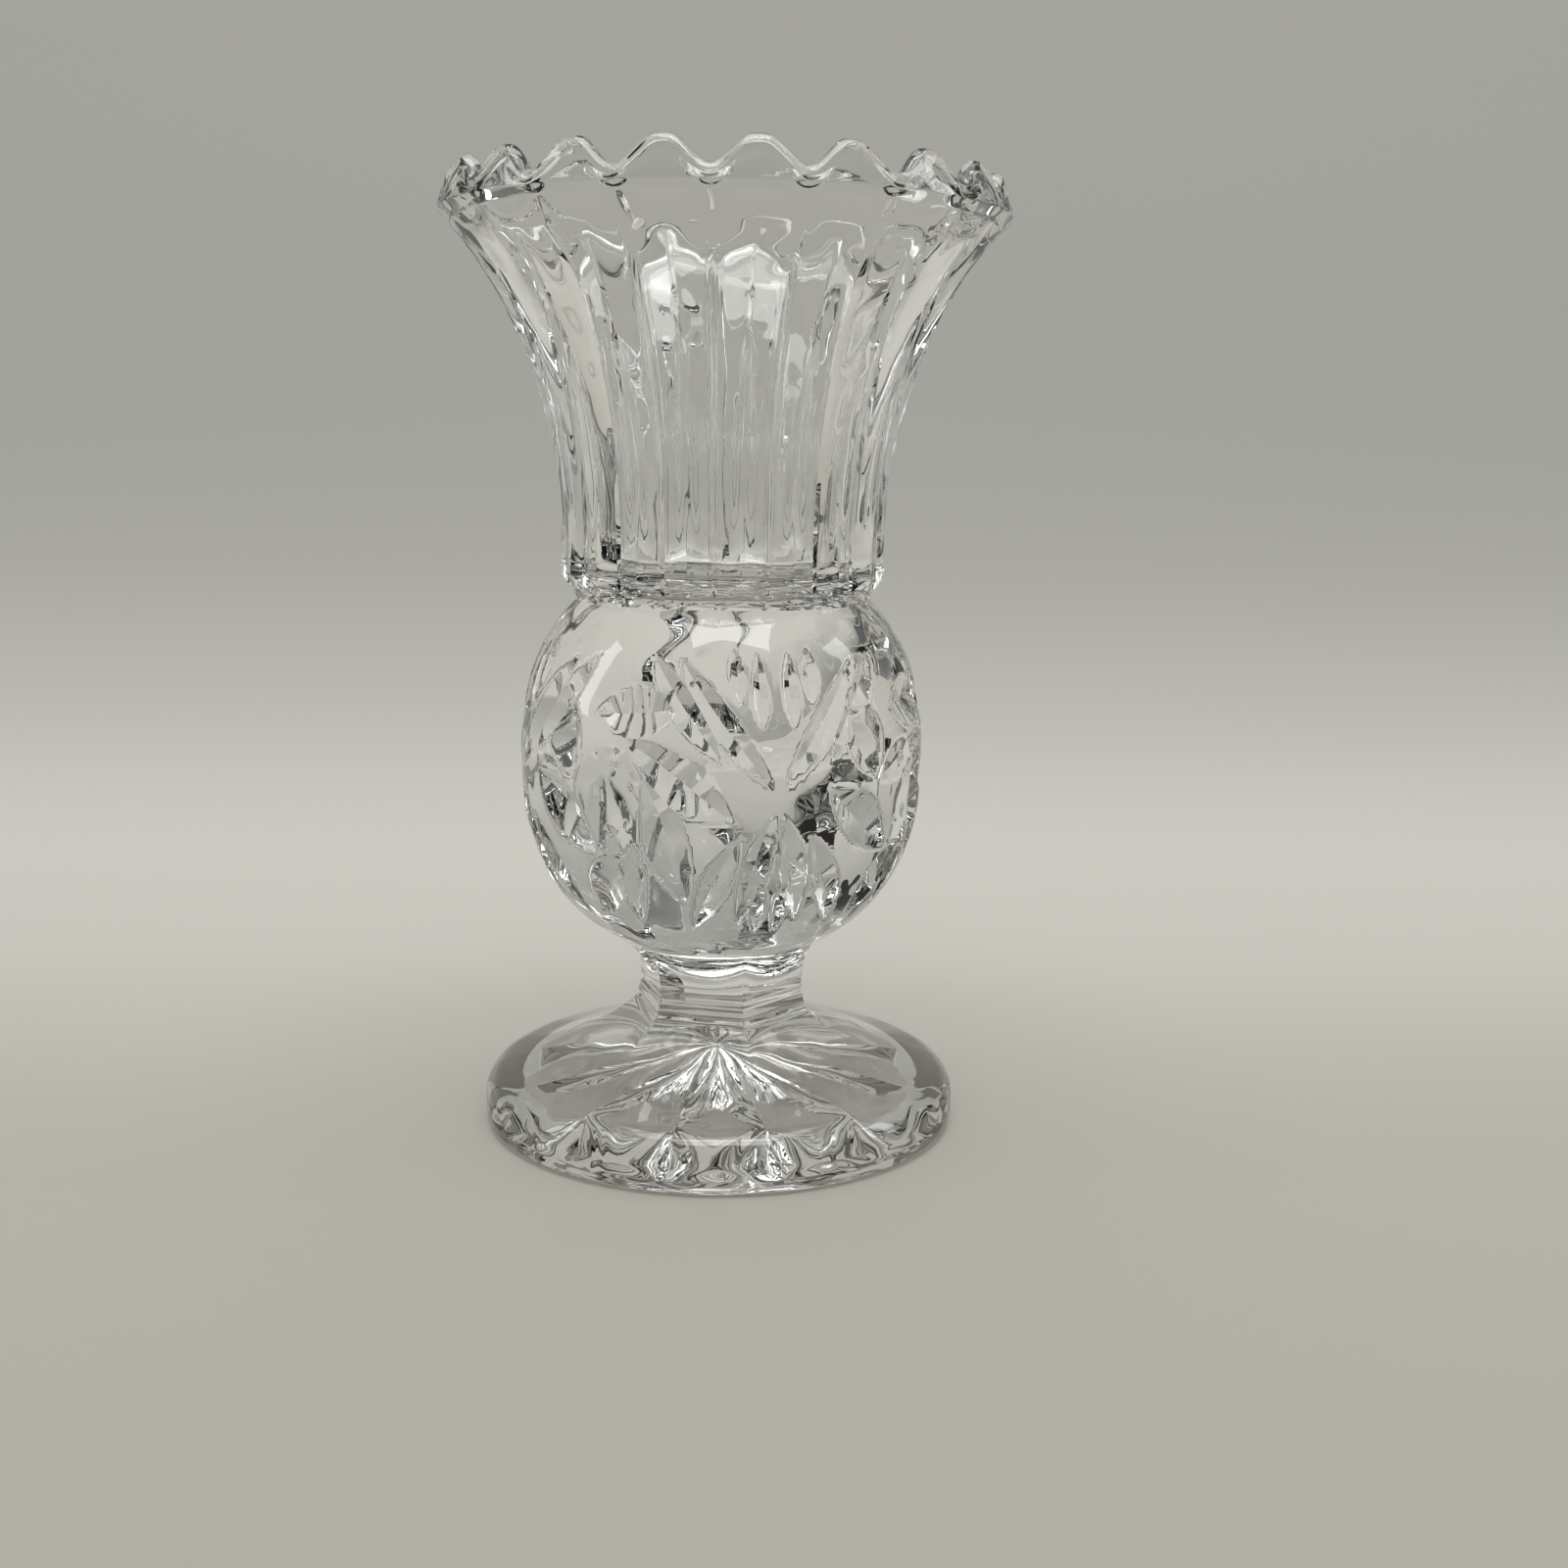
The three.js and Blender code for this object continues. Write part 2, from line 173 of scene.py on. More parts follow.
def turned_place(nodes, links, kind):
    """A point's place, and its X, Y and Z with the picture's turn taken out."""
    place = nodes.new("ShaderNodeTexCoord")
    turn = nodes.new("ShaderNodeMapping")
    turn.inputs["Rotation"].default_value = (0, 0, -PHOTO_TURN)
    links.new(place.outputs[kind], turn.inputs["Vector"])
    split = nodes.new("ShaderNodeSeparateXYZ")
    links.new(turn.outputs["Vector"], split.inputs["Vector"])
    return place, split


def joined(nodes, links, operation, first, second):
    """One value worked out from two."""
    node = nodes.new("ShaderNodeMath")
    node.operation = operation
    links.new(first, node.inputs[0])
    links.new(second, node.inputs[1])
    return node.outputs["Value"]


def faded(nodes, links, value, limits):
    """A soft change from 0 at the first limit to 1 at the second."""
    fade = nodes.new("ShaderNodeMapRange")
    fade.interpolation_type = "SMOOTHSTEP"
    fade.inputs["From Min"].default_value = limits[0]
    fade.inputs["From Max"].default_value = limits[1]
    links.new(value, fade.inputs["Value"])
    return fade


def seen_by_eye(nodes, links):
    """1 on what the camera sees straight, mirrored or through glass, and 0 on what only lights."""
    path = nodes.new("ShaderNodeLightPath")
    mirrored = joined(nodes, links, "MAXIMUM",
                      path.outputs["Is Camera Ray"], path.outputs["Is Glossy Ray"])
    return joined(nodes, links, "MAXIMUM", mirrored, path.outputs["Is Transmission Ray"])


def paper_material():
    material = bpy.data.materials.new("paper")
    material.use_nodes = True
    nodes, links = material.node_tree.nodes, material.node_tree.links
    nodes.clear()
    place, split = turned_place(nodes, links, "Object")
    along = joined(nodes, links, "ADD", split.outputs["Y"], split.outputs["Z"])
    span = nodes.new("ShaderNodeMapRange")
    span.inputs["From Min"].default_value = PAPER_RANGE[0]
    span.inputs["From Max"].default_value = PAPER_RANGE[1]
    links.new(along, span.inputs["Value"])
    # The ramp paints light and shade along the sweep onto the paper's pale colour.
    tones = nodes.new("ShaderNodeValToRGB")
    tones.color_ramp.interpolation = "B_SPLINE"
    stops = tones.color_ramp.elements
    while len(stops) < len(PAPER_TONES_PAINTED_LIGHT):
        stops.new(0.5)
    for stop, (where, colour) in zip(stops, PAPER_TONES_PAINTED_LIGHT):
        stop.position = (where - PAPER_RANGE[0]) / (PAPER_RANGE[1] - PAPER_RANGE[0])
        stop.color = (*colour, 1)
    links.new(span.outputs["Result"], tones.inputs["Fac"])
    lit = nodes.new("ShaderNodeBsdfDiffuse")
    plain = nodes.new("ShaderNodeEmission")
    links.new(tones.outputs["Color"], lit.inputs["Color"])
    links.new(tones.outputs["Color"], plain.inputs["Color"])
    from_vase = nodes.new("ShaderNodeVectorMath")
    from_vase.operation = "LENGTH"
    links.new(place.outputs["Object"], from_vase.inputs["Vector"])
    plain_share = faded(nodes, links, from_vase.outputs["Value"], FOOT_SHADE)
    plain_share.inputs["To Min"].default_value = FOOT_SHADE_PLAIN_SHARE
    plain_share.inputs["To Max"].default_value = PAPER_PLAIN_SHARE
    share = joined(nodes, links, "MULTIPLY",
                   seen_by_eye(nodes, links), plain_share.outputs["Result"])
    mix = nodes.new("ShaderNodeMixShader")
    links.new(share, mix.inputs["Fac"])
    links.new(lit.outputs["BSDF"], mix.inputs[1])
    links.new(plain.outputs["Emission"], mix.inputs[2])
    output = nodes.new("ShaderNodeOutputMaterial")
    links.new(mix.outputs["Shader"], output.inputs["Surface"])
    return material


paper = paper_material()
sweep.data.materials.append(paper)
print("paper:", len(paper.node_tree.nodes), "nodes")

# %% [markdown]
# The room: soft light from above, and a darker side behind the camera. The dark side matters as
# much as the lamps, because it draws the dark lines that give clear glass its shape.

# %% World
ROOM_TOP = (0.60, 0.60, 0.58)
ROOM_SIDE = (0.13, 0.13, 0.125)
ROOM_BEHIND_CAMERA = (0.08, 0.08, 0.077)
BEHIND_LIMITS = (-0.25, -0.85)
ABOVE_LIMITS = (0.35, 0.9)


def build_world():
    world = bpy.data.worlds.new("room")
    bpy.context.scene.world = world
    world.use_nodes = True
    nodes, links = world.node_tree.nodes, world.node_tree.links
    nodes.clear()
    split = turned_place(nodes, links, "Generated")[1]
    behind = faded(nodes, links, split.outputs["Y"], BEHIND_LIMITS)
    above = faded(nodes, links, split.outputs["Z"], ABOVE_LIMITS)
    walls = nodes.new("ShaderNodeMix")
    walls.data_type = "RGBA"
    walls.inputs["A"].default_value = (*ROOM_SIDE, 1)
    walls.inputs["B"].default_value = (*ROOM_BEHIND_CAMERA, 1)
    links.new(behind.outputs["Result"], walls.inputs["Factor"])
    room = nodes.new("ShaderNodeMix")
    room.data_type = "RGBA"
    room.inputs["B"].default_value = (*ROOM_TOP, 1)
    links.new(above.outputs["Result"], room.inputs["Factor"])
    links.new(walls.outputs["Result"], room.inputs["A"])
    background = nodes.new("ShaderNodeBackground")
    links.new(room.outputs["Result"], background.inputs["Color"])
    output = nodes.new("ShaderNodeOutputWorld")
    links.new(background.outputs["Background"], output.inputs["Surface"])
    return world


world = build_world()
print("room:", len(world.node_tree.nodes), "nodes")

# %% [markdown]
# Soft boxes round the vase. A wide one over the camera gives the milky patch inside the flare,
# one overhead lights the paper, and two upright ones at the sides whiten the edges of the glass.

# %% Lamps, each with its place, width, height and strength
LAMP_AIM = (0, 0, 0.09)
LAMPS = [
    ("overhead", (0.0, 0.10, 1.3), 1.0, 0.8, 2.3),
    ("over_camera", (0.03, -0.39, 1.19), 0.8, 0.5, 4.6),
    ("left_side", (-1.1, -0.05, 0.55), 0.22, 0.8, 3.6),
    ("right_side", (1.1, 0.05, 0.55), 0.22, 0.8, 3.6),
]


def soft_box(name, place, width, height, strength):
    """A rectangular lamp whose face is as bright as a white of that strength."""
    light = bpy.data.lights.new(name, "AREA")
    light.shape = "RECTANGLE"
    light.size = width
    light.size_y = height
    light.energy = strength * math.pi * width * height
    lamp = bpy.data.objects.new(name, light)
    turned = Matrix.Rotation(PHOTO_TURN, 3, "Z") @ Vector(place)
    lamp.location = turned
    lamp.rotation_euler = (turned - Vector(LAMP_AIM)).to_track_quat("Z", "Y").to_euler()
    bpy.context.scene.collection.objects.link(lamp)
    print(name, "lamp,", round(light.energy, 2), "W")


for lamp in LAMPS:
    soft_box(*lamp)

# %% [markdown]
# The body is a round shape first: one outline, from the middle of the stem's bottom, up the
# outside, over the lip and down the inside to the floor of the bowl. A flat net of faces is
# rolled round the axis along that outline. The pattern is then pressed into the net by moving its
# points along the surface's normals, which keeps one closed skin. Cutting it with Booleans would
# leave long thin faces, and clear glass shows every one of them.

# %% Sizes of the body, in millimetres
FOOT_HEIGHT = foot_high.z / MM
TOTAL_HEIGHT = body_high.z / MM
RIM_RADIUS = body_high.x / MM
BULB_MIDDLE = FOOT_HEIGHT + 42
BULB_RADIUS = 32.2
BULB_HALF_HEIGHT = 32.8
BULB_EXPONENT = 2.35
BULB_SIDE_RADIUS = 45
STEM_WAIST_RADIUS = 13.7
STEM_FOOT_RADIUS = 14.8
STEM_WAIST = FOOT_HEIGHT + 5
STEM_TOP_FILLET = 2.6
NECK_BOTTOM = BULB_MIDDLE + 25.1
NECK_CHAMFER = 3.9
NECK_RADIUS = 25.7
NECK_BOTTOM_RADIUS = 23.2
LIP_HEIGHT = 6.4
LIP_LEAN = 1.3
LIP_THICKNESS = 3.4
LIP_ROUND = LIP_THICKNESS / 2
CREASE = TOTAL_HEIGHT - LIP_HEIGHT
FLARE_BOTTOM = NECK_BOTTOM + NECK_CHAMFER + 3
NECK_WALL = 5.2
RIM_WALL = 3.9
CAVITY_FLOOR = NECK_BOTTOM + 1
CAVITY_FLOOR_RADIUS = 8
BODY_STEPS = 400
print("bulb middle", round(BULB_MIDDLE, 1), "crease", round(CREASE, 1))

# %% Curves of the outline
FLARE_LOW_HANDLE = 21.5
FLARE_TOP_HANDLE = (11.3, 11.2)


def bezier(points, steps):
    """Points on a Bezier curve of any degree, its first point left out."""
    curve = []
    for step in range(1, steps + 1):
        row = [Vector(point) for point in points]
        while len(row) > 1:
            row = [a.lerp(b, step / steps) for a, b in zip(row, row[1:])]
        curve.append(tuple(row[0]))
    return curve


def bulb_points(low_radius, high_radius, steps):
    """The rounded barrel |r/R|^n + |z/h|^n = 1 in even turns, from the stem to the neck."""
    power = 2 / BULB_EXPONENT
    low = -math.acos((low_radius / BULB_RADIUS) ** (1 / power))
    high = math.acos((high_radius / BULB_RADIUS) ** (1 / power))
    points = []
    for step in range(1, steps + 1):
        turn = low + (high - low) * step / steps
        reach = math.copysign(BULB_HALF_HEIGHT * abs(math.sin(turn)) ** power, turn)
        points.append((BULB_RADIUS * math.cos(turn) ** power, BULB_MIDDLE + reach))
    return points


def flare_points(neck_wall, rim_wall, steps):
    """The flare from the neck up to the crease, pulled in by the wall for its inside."""
    neck, rim = NECK_RADIUS - neck_wall, RIM_RADIUS - rim_wall
    return bezier([(neck, FLARE_BOTTOM), (neck, FLARE_BOTTOM + FLARE_LOW_HANDLE),
                   (rim - FLARE_TOP_HANDLE[0], CREASE - FLARE_TOP_HANDLE[1]),
                   (rim, CREASE)], steps)


def barrel_reach(radius):
    """How far above or below its middle the bulb has a radius."""
    return BULB_HALF_HEIGHT * (1 - (radius / BULB_RADIUS) ** BULB_EXPONENT) ** (1 / BULB_EXPONENT)


STEM_JOIN_RADIUS = STEM_WAIST_RADIUS + STEM_TOP_FILLET
STEM_JOIN = BULB_MIDDLE - barrel_reach(STEM_JOIN_RADIUS)
print("the stem joins the bulb at", round(STEM_JOIN, 1), "mm")

# %% Outline of the body
FUSED_MIDDLE_RADIUS = STEM_FOOT_RADIUS / 2
LIP_INNER_BEND = 0.3
LIP_STEPS = 12


def body_outline():
    outline = [(0, FOOT_HEIGHT), (FUSED_MIDDLE_RADIUS, FOOT_HEIGHT),
               (STEM_FOOT_RADIUS, FOOT_HEIGHT)]
    outline += bezier([(STEM_FOOT_RADIUS, FOOT_HEIGHT),
                       (STEM_WAIST_RADIUS, (FOOT_HEIGHT + STEM_WAIST) / 2),
                       (STEM_WAIST_RADIUS, STEM_WAIST)], steps=20)
    outline += bezier([(STEM_WAIST_RADIUS, STEM_WAIST),
                       (STEM_WAIST_RADIUS, STEM_JOIN - STEM_TOP_FILLET),
                       (STEM_JOIN_RADIUS, STEM_JOIN)], steps=8)
    outline += bulb_points(STEM_JOIN_RADIUS, NECK_BOTTOM_RADIUS, steps=120)
    outline += bezier([outline[-1], (NECK_RADIUS, NECK_BOTTOM + NECK_CHAMFER)], steps=12)
    outline += bezier([outline[-1], (NECK_RADIUS, FLARE_BOTTOM)], steps=4)
    outline += flare_points(0, 0, steps=36)
    lip_outer = RIM_RADIUS - LIP_LEAN
    lip_middle = lip_outer - LIP_ROUND
    lip_spring = TOTAL_HEIGHT - LIP_ROUND
    outline += bezier([(RIM_RADIUS, CREASE), (RIM_RADIUS, CREASE + LIP_ROUND),
                       (lip_outer, lip_spring)], steps=6)
    for step in range(1, LIP_STEPS + 1):
        turn = math.pi * step / LIP_STEPS
        outline.append((lip_middle + LIP_ROUND * math.cos(turn),
                        lip_spring + LIP_ROUND * math.sin(turn)))
    outline += bezier([outline[-1], (RIM_RADIUS - RIM_WALL + LIP_INNER_BEND, CREASE + LIP_ROUND),
                       (RIM_RADIUS - RIM_WALL, CREASE)], steps=4)
    outline += flare_points(NECK_WALL, RIM_WALL, steps=10)[-2::-1]
    inner_radius = NECK_RADIUS - NECK_WALL
    outline += [(inner_radius, FLARE_BOTTOM)]
    outline += bezier([(inner_radius, FLARE_BOTTOM), (inner_radius, CAVITY_FLOOR),
                       (CAVITY_FLOOR_RADIUS, CAVITY_FLOOR)], steps=10)
    outline += [(CAVITY_FLOOR_RADIUS / 2, CAVITY_FLOOR), (0, CAVITY_FLOOR)]
    return outline


outline = np.array(body_outline())
print("outline of the body in", len(outline), "rows")

# %% Roll a net of faces along the outline
MERGE_DISTANCE = 1e-7


def rolled(name, outline, steps):
    """Rolls a flat net round the axis, its rows on an outline of (radius, height) in mm."""
    mesh = bmesh.new()
    row_layer = mesh.verts.layers.float.new("row")
    half = 1.0
    bmesh.ops.create_grid(mesh, x_segments=steps, y_segments=len(outline) - 1, size=half)
    for point in mesh.verts:
        turn = math.pi * (point.co.x / half + 1)
        row = round((point.co.y / half + 1) / 2 * (len(outline) - 1))
        point[row_layer] = row
        radius, height = outline[row]
        point.co = (radius * math.sin(turn) * MM, -radius * math.cos(turn) * MM, height * MM)
    bmesh.ops.remove_doubles(mesh, verts=mesh.verts[:], dist=MERGE_DISTANCE)
    bmesh.ops.recalc_face_normals(mesh, faces=mesh.faces[:])
    data = bpy.data.meshes.new(name)
    mesh.to_mesh(data)
    mesh.free()
    data.shade_smooth()
    piece = bpy.data.objects.new(name, data)
    bpy.context.scene.collection.objects.link(piece)
    return piece


body = rolled("body_glass", outline, BODY_STEPS)
print("body:", len(body.data.polygons), "faces")

# %% [markdown]
# From here on the body is shaped as numbers. Every point has a row of the outline and a turn
# about the axis. Each feature is a function that tells how deep it presses at a row and a turn,
# and which of its surfaces is pressed there.

# %% Points of a piece


def read_points(piece):
    """Places of a piece's points, as rows of x, y, z."""
    values = np.empty(len(piece.data.vertices) * 3, np.float32)
    piece.data.vertices.foreach_get("co", values)
    return values.reshape(-1, 3).astype(float)


def read_rows(piece):
    """Which row of its outline each point of a rolled piece lies on."""
    values = np.empty(len(piece.data.vertices), np.float32)
    piece.data.attributes["row"].data.foreach_get("value", values)
    return values.astype(float)


def write_points(piece, places):
    piece.data.vertices.foreach_set("co", places.astype(np.float32).ravel())
    piece.data.update()


def smoothstep(value, low, high):
    share = np.clip((value - low) / (high - low), 0, 1)
    return share * share * (3 - 2 * share)


def on_outline(rows):
    """Radius and height, in mm, of places on the body's outline."""
    numbers = np.arange(len(outline))
    return np.interp(rows, numbers, outline[:, 0]), np.interp(rows, numbers, outline[:, 1])


places = read_points(body)
angle = np.arctan2(places[:, 0], -places[:, 1])
rows = read_rows(body)
crease_row = int(outline[:, 0].argmax())
print("rows up to the crease:", crease_row)

# %% [markdown]
# Ribs: twenty round-backed panels with a sharp groove between them. They fade out under the
# crease. At the bottom of the neck a flat facet slants in under each panel, and its top is an
# arch because the panel's back is round. Up each panel runs a narrow flute with a pointed tip.

# %% Ribs of the neck and flare
RIB_COUNT = 20
RIB_GROOVE = 1.4
RIB_END = CREASE - 3
RIB_FADE = 9
FLUTE_DEPTH = 0.8
FLUTE_HALF_WIDTH = 0.22
FLUTE_TIP = CREASE - 13.5
FLUTE_TAPER = 24
FLUTE_START = FLARE_BOTTOM
FLUTE_FADE = 12
NARROWEST_FLUTE = 0.001
NECK_PRESS_BOTTOM = NECK_BOTTOM + 0.2


def from_panel_middle(angle):
    """Distance from the middle of the nearest panel, as a share of a panel."""
    rib_turn = angle / (2 * math.pi) * RIB_COUNT
    return np.abs(rib_turn - np.round(rib_turn))


def neck_press(radius, height, angle):
    """How deep the ribs press in, in mm, and which surface does: panel, facet or flute."""
    off = from_panel_middle(angle)
    fade = 1 - smoothstep(height, RIB_END - RIB_FADE, RIB_END)
    rib = RIB_GROOVE * fade * radius / NECK_RADIUS * (1 - np.sqrt(np.maximum(1 - 2 * off, 0)))
    facet = radius / np.cos(off * 2 * math.pi / RIB_COUNT)
    panel = np.where(height < FLARE_BOTTOM, NECK_RADIUS, radius) - rib
    to_tip = (FLUTE_TIP - height) / FLUTE_TAPER
    flute_half = FLUTE_HALF_WIDTH * np.clip(to_tip, NARROWEST_FLUTE, 1)
    flute = FLUTE_DEPTH * np.clip(1 - (off / flute_half) ** 2, 0, 1)
    flute = flute * smoothstep(height, FLUTE_START, FLUTE_START + FLUTE_FADE) * (height < FLUTE_TIP)
    on_neck = (height > NECK_PRESS_BOTTOM) & (height < CREASE)
    press = np.where(on_neck, radius - np.minimum(facet, panel) + flute, 0)
    surface = np.where(on_neck, 1 + (facet < panel) + 2 * (flute > 0), 0)
    return press, surface


print(RIB_COUNT, "ribs,", RIB_GROOVE, "mm deep at the neck")

# %% [markdown]
# The pattern of the bulb. Each cut is a V groove, deepest in its middle and running out to a
# point at both ends, as a wheel leaves it. The flanks of every vane have the same slope, so a
# wider vane is also deeper. Where cuts meet, the deeper one counts.

# %% Cuts of the bulb
FLOWER_HEIGHT = BULB_MIDDLE - 3
CROSS_HEIGHT = BULB_MIDDLE - 2
VANE_FLANK_SLOPE = math.radians(30)
CROSS_DEPTH = 1.7
BUTTON_DEPTH = 0.8
BUTTON_FLAT = 0.8
BUTTON_WIDTH = 3
FAN_DEPTH = 1.0
VANES = [
    ((-3.6, 12.8), (10.6, 14.2), 7.8),
    ((1.8, 9.5), (18.8, -2.7), 8.0),
    ((4.6, 4.8), (11.3, -16.0), 7.6),
    ((2.6, -5.5), (1.6, -19.5), 4.8),
    ((0.8, -8.0), (-7.5, -19.0), 7.0),
    ((-3.8, -8.5), (-17.0, 2.5), 7.6),
    ((-8.0, 2.5), (-12.5, 17.5), 8.0),
]
BUTTON_CORNERS = [(-3, 3.6), (2.2, 5.8), (3.4, 0), (0.9, -6), (-3.2, -3)]
CROSS_CUTS = [
    ((20, 20.5), (8.2, 5.2), 4.8),
    ((15.4, 20.5), (0.6, 1.2), 4.8),
    ((5.4, -5.5), (13.5, -21), 5.0),
    ((0.6, -2), (5.6, -20), 4.8),
]
FAN_CUTS = [
    ((2.4, 10), (2.6, 21.5), 3.2),
    ((5.6, 13.5), (6.4, 22), 3.2),
    ((1.9, -12.5), (1.9, -22), 3.2),
]
PATTERN_BOTTOM = STEM_WAIST + 5
print(4 * (len(VANES) + 2 * len(CROSS_CUTS) + 2 * len(FAN_CUTS)), "cuts in the bulb")

# %% Press of the cuts


def groove(along, up, start, tip, width, depth):
    """Depth of one V groove with flat flanks, below zero outside it, and which flank it is."""
    start, tip = np.array(start), np.array(tip)
    length = np.linalg.norm(tip - start)
    axis = (tip - start) / length
    share = ((along - start[0]) * axis[0] + (up - start[1]) * axis[1]) / length
    off = (up - start[1]) * axis[0] - (along - start[0]) * axis[1]
    keel = depth * 4 * share * (1 - share)
    half = width / 2
    crown = half ** 2 / (2 * BULB_RADIUS)
    flank = (depth - crown) / half * np.abs(off) + off ** 2 / (2 * BULB_RADIUS)
    return keel - flank, (off > 0).astype(int)


def across(cut):
    """The same cut mirrored across the seam."""
    start, tip, width = cut
    return (-start[0], start[1]), (-tip[0], tip[1]), width


def along_bulb(angle):
    """The way along the bulb from the nearest quarter turn, in mm."""
    quarter = math.pi / 2
    return BULB_RADIUS * (angle - quarter * np.round(angle / quarter))


def bulb_press(height, angle):
    """How deep the pattern presses in, in mm, and which of its surfaces does."""
    along = along_bulb(angle)
    up = height - FLOWER_HEIGHT
    uncut = np.zeros(len(angle))
    one_face = uncut.astype(int)
    flat = BUTTON_FLAT - along ** 2 / (2 * BULB_RADIUS) - up ** 2 / (2 * BULB_SIDE_RADIUS)
    surfaces = [(uncut, one_face), (flat, one_face)]
    for start, tip, width in VANES:
        depth = width / 2 * math.tan(VANE_FLANK_SLOPE)
        surfaces.append(groove(along, up, start, tip, width, depth))
    for start, tip in zip(BUTTON_CORNERS, BUTTON_CORNERS[1:] + BUTTON_CORNERS[:1]):
        surfaces.append(groove(along, up, start, tip, BUTTON_WIDTH, BUTTON_DEPTH))
    along = along_bulb(angle - math.pi / 4)
    up = height - CROSS_HEIGHT
    for cuts, depth in ((CROSS_CUTS, CROSS_DEPTH), (FAN_CUTS, FAN_DEPTH)):
        for cut in cuts + [across(cut) for cut in cuts]:
            surfaces.append(groove(along, up, *cut, depth))
    depths = np.array([surface[0] for surface in surfaces])
    faces = np.array([surface[1] for surface in surfaces])
    deepest = depths.argmax(0)
    chosen = deepest, np.arange(len(angle))
    on_bulb = (height > PATTERN_BOTTOM) & (height < NECK_BOTTOM)
    return np.where(on_bulb, depths[chosen], 0), np.where(on_bulb, 2 * deepest + faces[chosen], 0)


all_round = np.linspace(0, 2 * math.pi, BODY_STEPS)
at_flowers = bulb_press(np.full(BODY_STEPS, FLOWER_HEIGHT), all_round)[0]
print("at the flowers' height the cuts go", round(float(at_flowers.max()), 2), "mm deep")

# %% [markdown]
# Cut glass lives from crisp edges. A net of square cells can't follow them, so every point that
# lies within half a cell of an edge slides along the net onto it. A finer net would cost far more
# faces and still show steps.

# %% Slide the net onto the edges
NECK_SURFACES = 10
HALVINGS = 7
FUSED_ROWS = 2


def surface_at(rows, angle):
    """Which surface of the ribs or of the pattern is pressed at each place."""
    radius, height = on_outline(rows)
    return NECK_SURFACES * bulb_press(height, angle)[1] + neck_press(radius, height, angle)[1]


def slid_to_edges(rows, angle):
    """Places moved to the nearest edge within half a cell, and which of them moved."""
    cell = 2 * math.pi / BODY_STEPS
    here = surface_at(rows, angle)
    nearest = np.ones(len(rows))
    slid_rows, slid_angle = rows.copy(), angle.copy()
    for row_step, angle_step in ((0.5, 0), (-0.5, 0), (0, 0.5 * cell), (0, -0.5 * cell)):
        crossed = np.flatnonzero(surface_at(rows + row_step, angle + angle_step) != here)
        before, after = np.zeros(len(crossed)), np.ones(len(crossed))
        for _ in range(HALVINGS):
            middle = (before + after) / 2
            there = surface_at(rows[crossed] + middle * row_step,
                               angle[crossed] + middle * angle_step)
            same = there == here[crossed]
            before, after = np.where(same, middle, before), np.where(same, after, middle)
        closer = after < nearest[crossed]
        moved, share = crossed[closer], after[closer]
        nearest[moved] = share
        slid_rows[moved] = rows[moved] + share * row_step
        slid_angle[moved] = angle[moved] + share * angle_step
    return slid_rows, slid_angle, nearest < 1


patterned = (rows > FUSED_ROWS) & (rows < crease_row)
rows[patterned], angle[patterned], slid = slid_to_edges(rows[patterned], angle[patterned])
radius, height = on_outline(rows)
print("points on an edge:", int(slid.sum()))

# %% [markdown]
# Now every point moves. The ribs press straight in towards the axis. The cuts press in square to
# the surface, so that a cut keeps its form where the bulb turns towards the stem or the neck.

# %% Press the ribs and the pattern
SHORTEST_STEP = 1e-9

outside = rows <= crease_row
ribs = np.where(outside, neck_press(radius, height, angle)[0], 0)
cuts = np.where(outside, bulb_press(height, angle)[0], 0)
climb = np.gradient(outline, axis=0)
climb /= np.maximum(np.hypot(climb[:, 0], climb[:, 1]), SHORTEST_STEP)[:, None]
outwards = np.interp(rows, np.arange(len(outline)), climb[:, 1])
upwards = -np.interp(rows, np.arange(len(outline)), climb[:, 0])
pressed_radius = radius - ribs - cuts * outwards
places = np.stack([pressed_radius * np.sin(angle), -pressed_radius * np.cos(angle),
                   height - cuts * upwards], axis=1) * MM
print("deepest rib", round(float(ribs.max()), 2), "mm")
print("deepest cut", round(float(cuts.max()), 2), "mm")

# %% [markdown]
# The stem is six-sided. Its sides melt into the round bulb, so the pull towards the hexagon
# fades out with height. Two fine lines run round its bottom, where it was fused to the foot.

# %% Six-sided stem
STEM_SIDES = 6
STEM_CORNER = math.radians(45)
STEM_LINES = (FOOT_HEIGHT + 0.8, FOOT_HEIGHT + 3.4)
STEM_LINE_DEPTH = 0.5
STEM_LINE_WIDTH = 1.0


def move_out(places, radius, distance):
    """Moves points away from the axis, by a distance in mm."""
    places[:, :2] *= (1 + distance / np.maximum(radius, 1))[:, None]


def pull_to_hexagon(places, angle, share):
    """Pulls points in towards the sides of a hexagon, by a share of the way."""
    side = 2 * math.pi / STEM_SIDES
    from_side = (angle - STEM_CORNER) % side - side / 2
    hexagon = math.cos(side / 2) / np.cos(from_side)
    places[:, :2] *= (1 + (hexagon - 1) * share)[:, None]


for line in STEM_LINES:
    from_line = np.abs(height - line) / (STEM_LINE_WIDTH / 2)
    move_out(places, radius, -STEM_LINE_DEPTH * np.clip(1 - from_line, 0, 1))

pull_to_hexagon(places, angle, 1 - smoothstep(height, STEM_WAIST, STEM_JOIN))
print("stem:", STEM_SIDES, "sides and", len(STEM_LINES), "lines")

# %% [markdown]
# The rim: twenty flat-topped teeth. The rows of points between the crease and the lip's round
# top are squeezed down where a notch is, and the round top moves down whole, so the lip keeps its
# thickness and its fire-polished roundness all the way along. A tooth leans inwards, and at the
# bottom of a notch the lip stands upright again, or a sharp fold would show there.

# %% Teeth of the rim
NOTCH_DEPTH = 5
TOOTH_FLAT = 3.2
NOTCH_BOTTOM = 4.0
TOOTH_ROUND = 0.7
NOTCH_UPRIGHT = 0.8

